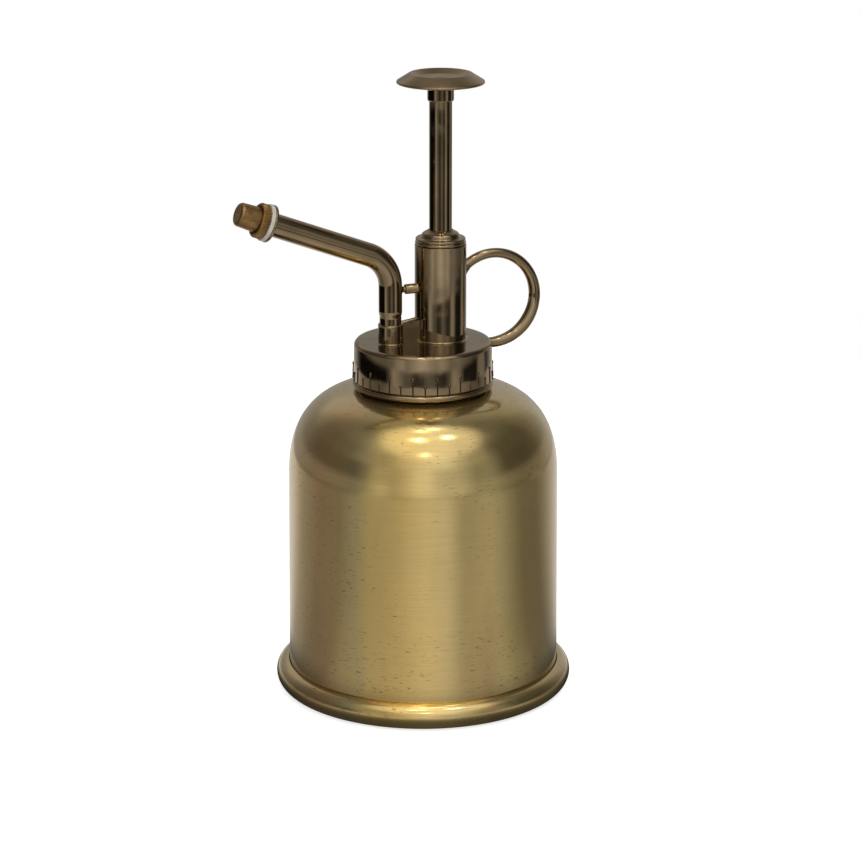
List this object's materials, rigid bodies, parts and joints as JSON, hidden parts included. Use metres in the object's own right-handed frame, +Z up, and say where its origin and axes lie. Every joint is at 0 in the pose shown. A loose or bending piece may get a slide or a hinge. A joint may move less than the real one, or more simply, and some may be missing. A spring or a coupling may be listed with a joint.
{
  "type": "pump sprayer",
  "caption": "Brass plant mister: domed tank with a base bead and a ribbed screw cap that carries a thumb-press piston pump, a bent spout with a knurled nozzle, and a finger ring.",
  "frame": {"origin": "centre of the flat underside of the tank, on the tank's axis", "axes": "+Z up along the tank's axis, -X towards the spray nozzle, +X towards the finger ring"},
  "size_m": [0.1157, 0.1006, 0.21],
  "materials": {
    "antique_brass": "brushed antique brass under clear lacquer",
    "plain_brass": "plain turned brass",
    "gunmetal_plating": "polished dark bronze plating",
    "satin_bronze": "satin brushed bronze",
    "nozzle_brass": "satin antique brass",
    "white_nylon": "smooth white nylon",
    "black_rubber": "matt black rubber",
    "milky_tube": "milky polyethylene",
    "steel": "bright stainless steel"
  },
  "bodies": {
    "tank": {"tank_shell": "antique_brass", "base_plate": "antique_brass", "base_bead": "antique_brass", "neck_ring": "plain_brass"},
    "gasket": {"cap_gasket": "black_rubber"},
    "head": {"cap": "gunmetal_plating", "pump_cylinder": "gunmetal_plating", "barrel_liner": "plain_brass", "foot_valve": "plain_brass", "ball_retainer": "plain_brass", "dip_tube": "milky_tube", "inlet_strainer": "milky_tube", "gland_nut": "gunmetal_plating", "rod_bush": "plain_brass", "gland_packing": "black_rubber", "duct": "gunmetal_plating", "spout_socket": "gunmetal_plating", "outlet_ball_stop": "plain_brass", "spout_tube": "gunmetal_plating", "brace_strut": "gunmetal_plating", "finger_ring": "gunmetal_plating", "spout_nipple": "gunmetal_plating", "swirl_core": "plain_brass", "return_spring": "steel"},
    "plunger": {"plunger_rod": "gunmetal_plating", "button_ferrule": "gunmetal_plating", "thumb_button": "satin_bronze", "piston": "plain_brass", "piston_cup": "black_rubber", "piston_nut": "plain_brass"},
    "suction_ball": {"suction_ball": "steel"},
    "outlet_ball": {"outlet_ball": "steel"},
    "nozzle_washer": {"nozzle_washer": "white_nylon"},
    "nozzle": {"nozzle": "nozzle_brass"}
  },
  "joints": [
    {"name": "head_rise", "type": "slide", "parent": "tank", "child": "gasket", "axis": [0, 0, 1], "range_m": [0, 0.00601]},
    {"name": "head_turn", "type": "hinge", "parent": "gasket", "child": "head", "pos_m": [0, 0, 0], "axis": [0, 0, 1], "range_deg": [0, 720]},
    {"name": "plunger_press", "type": "slide", "parent": "head", "child": "plunger", "axis": [0, 0, -1], "range_m": [0, 0.04], "stiffness_N_per_m": 200, "springref_m": -0.02, "deforming": ["return_spring"]},
    {"name": "suction_ball_lift", "type": "slide", "parent": "head", "child": "suction_ball", "axis": [0, 0, 1], "range_m": [0, 0.0012]},
    {"name": "outlet_ball_lift", "type": "slide", "parent": "head", "child": "outlet_ball", "axis": [0, 0, 1], "range_m": [0, 0.0012]},
    {"name": "nozzle_shift", "type": "slide", "parent": "head", "child": "nozzle_washer", "axis": [-0.933, 0, 0.36], "range_m": [0, 0.0015]},
    {"name": "nozzle_turn", "type": "hinge", "parent": "nozzle_washer", "child": "nozzle", "pos_m": [-0.05638, 0, 0.16568], "axis": [-0.933, 0, 0.36], "range_deg": [0, 720.5]}
  ],
  "couplings": [
    {"joint": "head_rise", "follows": "head_turn", "m_per_rad": 0.00047746},
    {"joint": "nozzle_turn", "follows": "nozzle_shift", "rad_per_m": 8377.6}
  ]
}
